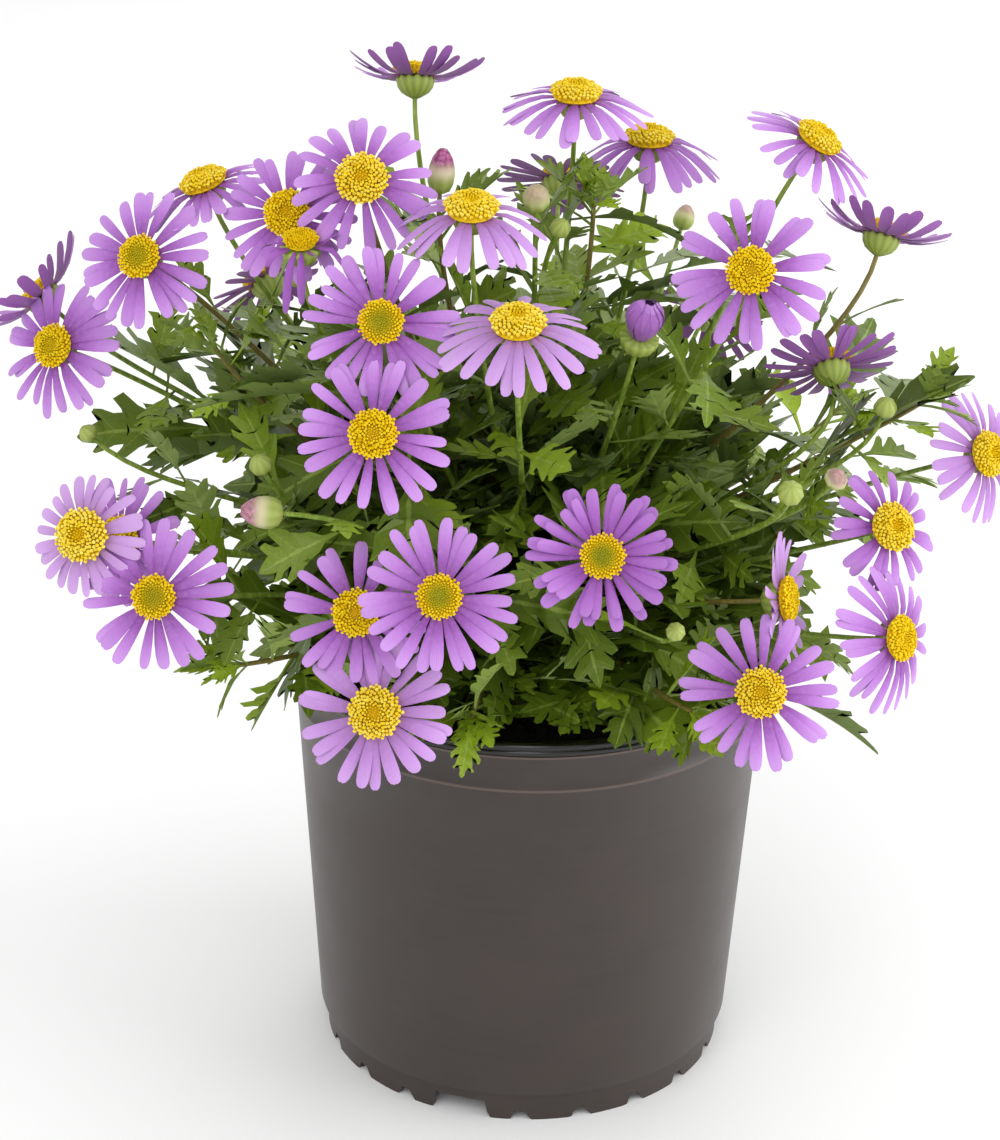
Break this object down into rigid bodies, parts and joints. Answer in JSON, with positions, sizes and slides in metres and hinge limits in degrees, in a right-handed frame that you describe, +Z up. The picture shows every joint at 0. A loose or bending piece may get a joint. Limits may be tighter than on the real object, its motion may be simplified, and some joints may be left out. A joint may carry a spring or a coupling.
{
  "type": "potted swan river daisy",
  "caption": "Bushy swan river daisy with lilac rays round yellow discs over lobed green leaves, growing in a dark grey nursery pot with a notched foot.",
  "frame": {"origin": "middle of the whole part's bounding box in plan, at the height of the pot's feet", "axes": "+Z up; the side seen in the picture faces -Y; +X is to its right"},
  "size_m": [0.2698, 0.2138, 0.2809],
  "materials": {
    "pot_plastic": "satin dark warm grey injection-moulded plastic, with a glossier lip",
    "soil": "damp dark potting mix",
    "leaf_green": "fresh soft-glossy leaves and stems, lighter on young shoots",
    "ray_lilac": "soft matte lilac petals, deeper violet towards the foot",
    "disc_yellow": "granular yellow florets, greener in the middle of young heads"
  },
  "bodies": {
    "root": {"disc_1": "disc_yellow", "disc_10": "disc_yellow", "disc_11": "disc_yellow", "disc_12": "disc_yellow", "disc_13": "disc_yellow", "disc_14": "disc_yellow", "disc_15": "disc_yellow", "disc_16": "disc_yellow", "disc_17": "disc_yellow", "disc_18": "disc_yellow", "disc_19": "disc_yellow", "disc_2": "disc_yellow", "disc_20": "disc_yellow", "disc_21": "disc_yellow", "disc_22": "disc_yellow", "disc_23": "disc_yellow", "disc_24": "disc_yellow", "disc_25": "disc_yellow", "disc_26": "disc_yellow", "disc_27": "disc_yellow", "disc_28": "disc_yellow", "disc_29": "disc_yellow", "disc_3": "disc_yellow", "disc_30": "disc_yellow", "disc_32": "disc_yellow", "disc_33": "disc_yellow", "disc_35": "disc_yellow", "disc_4": "disc_yellow", "disc_5": "disc_yellow", "disc_6": "disc_yellow", "disc_8": "disc_yellow", "disc_9": "disc_yellow", "leafy_stems_front": "leaf_green", "leafy_stems_left": "leaf_green", "leafy_stems_right": "leaf_green", "pot": "pot_plastic", "potting_soil": "soil", "rays_12": "ray_lilac", "rays_13": "ray_lilac", "rays_14": "ray_lilac", "rays_15": "ray_lilac", "rays_16": "ray_lilac", "rays_17": "ray_lilac", "rays_18": "ray_lilac", "rays_19": "ray_lilac", "rays_1_3": "ray_lilac", "rays_20_21": "ray_lilac", "rays_22_23": "ray_lilac", "rays_24": "ray_lilac", "rays_25": "ray_lilac", "rays_26_27": "ray_lilac", "rays_28_29": "ray_lilac", "rays_2_4": "ray_lilac", "rays_30": "ray_lilac", "rays_32": "ray_lilac", "rays_33": "ray_lilac", "rays_35": "ray_lilac", "rays_5_7_6_8": "ray_lilac", "rays_9_10_11": "ray_lilac", "rays_half_open": "ray_lilac"}
  },
  "joints": []
}
